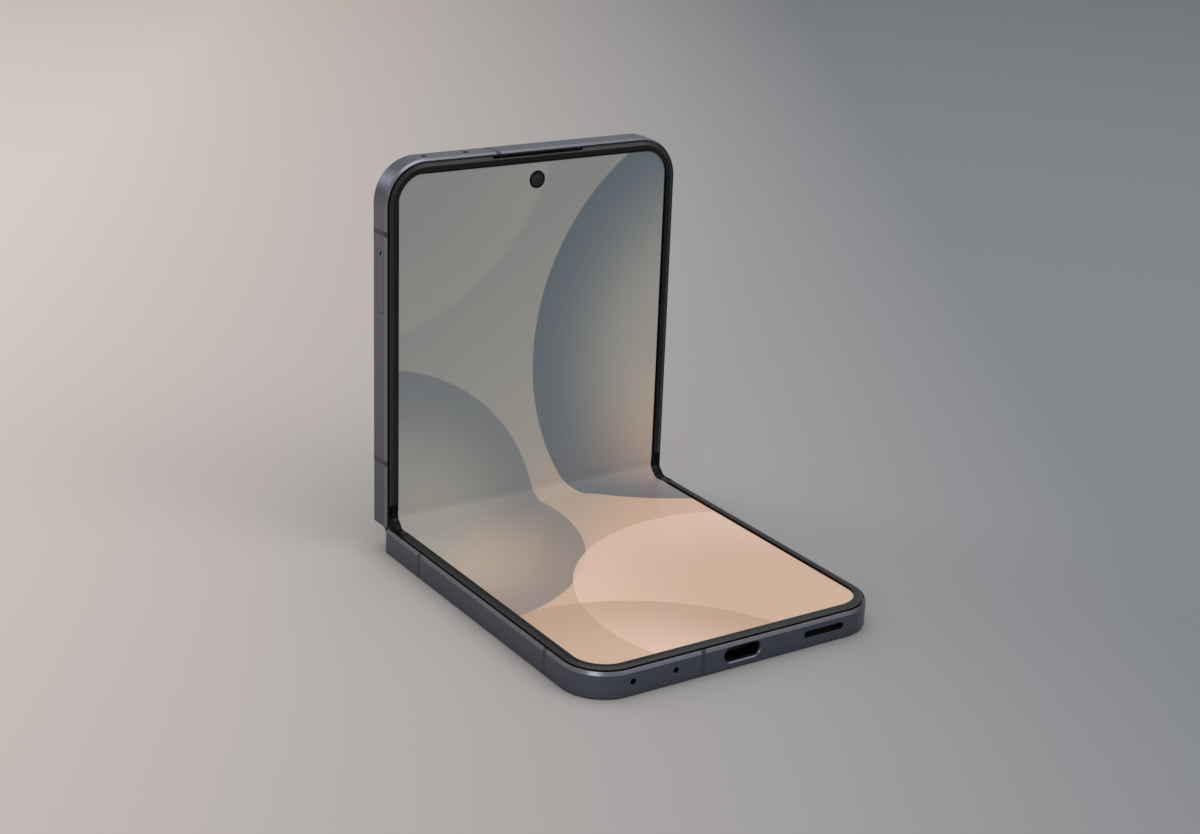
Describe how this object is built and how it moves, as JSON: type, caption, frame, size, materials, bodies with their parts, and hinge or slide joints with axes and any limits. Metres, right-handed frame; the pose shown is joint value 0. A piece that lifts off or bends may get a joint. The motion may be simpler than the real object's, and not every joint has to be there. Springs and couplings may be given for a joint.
{
  "type": "foldable smartphone",
  "caption": "Clamshell phone with a folding screen on a geared hinge, shown half open, with rear cameras, card tray, side keys and a charging socket.",
  "frame": {"origin": "centre of the lower half's back, the face that it lies on", "axes": "+Z out of the lower half's back towards its screen, +Y towards the fold, +X to the right when the screen faces the user"},
  "size_m": [0.0755, 0.0915, 0.0891],
  "materials": {
    "frame_metal": "anodised satin",
    "band_plastic": "matt",
    "rim_plastic": "matt",
    "screen": "glossy",
    "steel_plate": "satin",
    "back_glass": "frosted",
    "cell": "foil pouch, satin",
    "copper": "enamelled winding",
    "board": "solder mask",
    "shell_steel": "satin",
    "black_plastic": "matt",
    "gold_can": "satin",
    "screw_steel": "satin",
    "hinge_steel": "satin",
    "spine_metal": "polished",
    "gear_brass": "satin",
    "flex_film": "polyimide film",
    "camera_glass": "coated",
    "flash_lens": "glossy",
    "display_black": "glossy",
    "seal_rubber": "matt"
  },
  "bodies": {
    "lower_half": {"lower_frame": "frame_metal", "lower_bands": "band_plastic", "lower_rim": "rim_plastic", "lower_screen": "screen", "lower_screen_plate": "steel_plate", "lower_back_glass": "back_glass", "lower_battery": "cell", "charging_coil": "copper", "port_board": "board", "charging_socket": "shell_steel", "loudspeaker": "black_plastic", "speaker_mesh": "black_plastic", "vibration_motor": "shell_steel", "lower_microphones": "gold_can", "lower_screws": "screw_steel", "lower_hinge_arms": "hinge_steel", "lower_flex": "flex_film"},
    "spine": {"spine_cover": "spine_metal", "spine_end_caps": "band_plastic", "hinge_blocks": "hinge_steel", "hinge_pins": "shell_steel", "fold_screen": "screen"},
    "idler_a": {"idler_gear_a": "gear_brass"},
    "idler_b": {"idler_gear_b": "gear_brass"},
    "upper_half": {"upper_frame": "frame_metal", "upper_bands": "band_plastic", "upper_rim": "rim_plastic", "upper_screen": "screen", "upper_screen_plate": "steel_plate", "cover_glass": "back_glass", "cover_display": "display_black", "camera_rings": "frame_metal", "camera_lenses": "camera_glass", "camera_modules": "black_plastic", "flash_lens": "flash_lens", "front_camera": "camera_glass", "earpiece": "black_plastic", "earpiece_mesh": "black_plastic", "main_board": "board", "shield_cans": "shell_steel", "upper_battery": "cell", "upper_microphones": "gold_can", "upper_screws": "screw_steel", "upper_hinge_arms": "hinge_steel", "upper_flex": "flex_film", "tray_reader": "shell_steel", "key_switches": "gold_can"},
    "card_tray": {"card_tray": "frame_metal", "tray_seal": "seal_rubber"},
    "volume_key": {"volume_key": "frame_metal"},
    "side_key": {"side_key": "frame_metal"}
  },
  "joints": [
    {"name": "spine_turn", "type": "hinge", "parent": "lower_half", "child": "spine", "pos_m": [0, 0.03995, 0.00495], "axis": [-1, 0, 0], "range_deg": [-45.5, 44.5], "deforming": ["fold_screen"]},
    {"name": "upper_fold", "type": "hinge", "parent": "spine", "child": "upper_half", "pos_m": [0, 0.04266, 0.00761], "axis": [-1, 0, 0], "range_deg": [-45.5, 44.5]},
    {"name": "idler_a_turn", "type": "hinge", "parent": "spine", "child": "idler_a", "pos_m": [0, 0.042, 0.00415], "axis": [-1, 0, 0], "range_deg": [-54.6, 53.4]},
    {"name": "idler_b_turn", "type": "hinge", "parent": "spine", "child": "idler_b", "pos_m": [0, 0.04343, 0.00555], "axis": [-1, 0, 0], "range_deg": [-53.4, 54.6]},
    {"name": "tray_slide", "type": "slide", "parent": "upper_half", "child": "card_tray", "axis": [-1, 0, 0], "range_m": [0, 0.02]},
    {"name": "volume_rock", "type": "hinge", "parent": "upper_half", "child": "volume_key", "pos_m": [0.0362, 0.04533, 0.06302], "axis": [0, -0.9998, 0.0175], "range_deg": [-1.2, 1.2], "stiffness_Nm_per_rad": 0.3},
    {"name": "side_press", "type": "slide", "parent": "upper_half", "child": "side_key", "axis": [-1, 0, 0], "range_m": [0, 0.0003], "stiffness_N_per_m": 1500}
  ],
  "couplings": [
    {"joint": "upper_fold", "follows": "spine_turn", "ratio": 1},
    {"joint": "idler_a_turn", "follows": "spine_turn", "ratio": 1.2},
    {"joint": "idler_b_turn", "follows": "spine_turn", "ratio": -1.2}
  ]
}
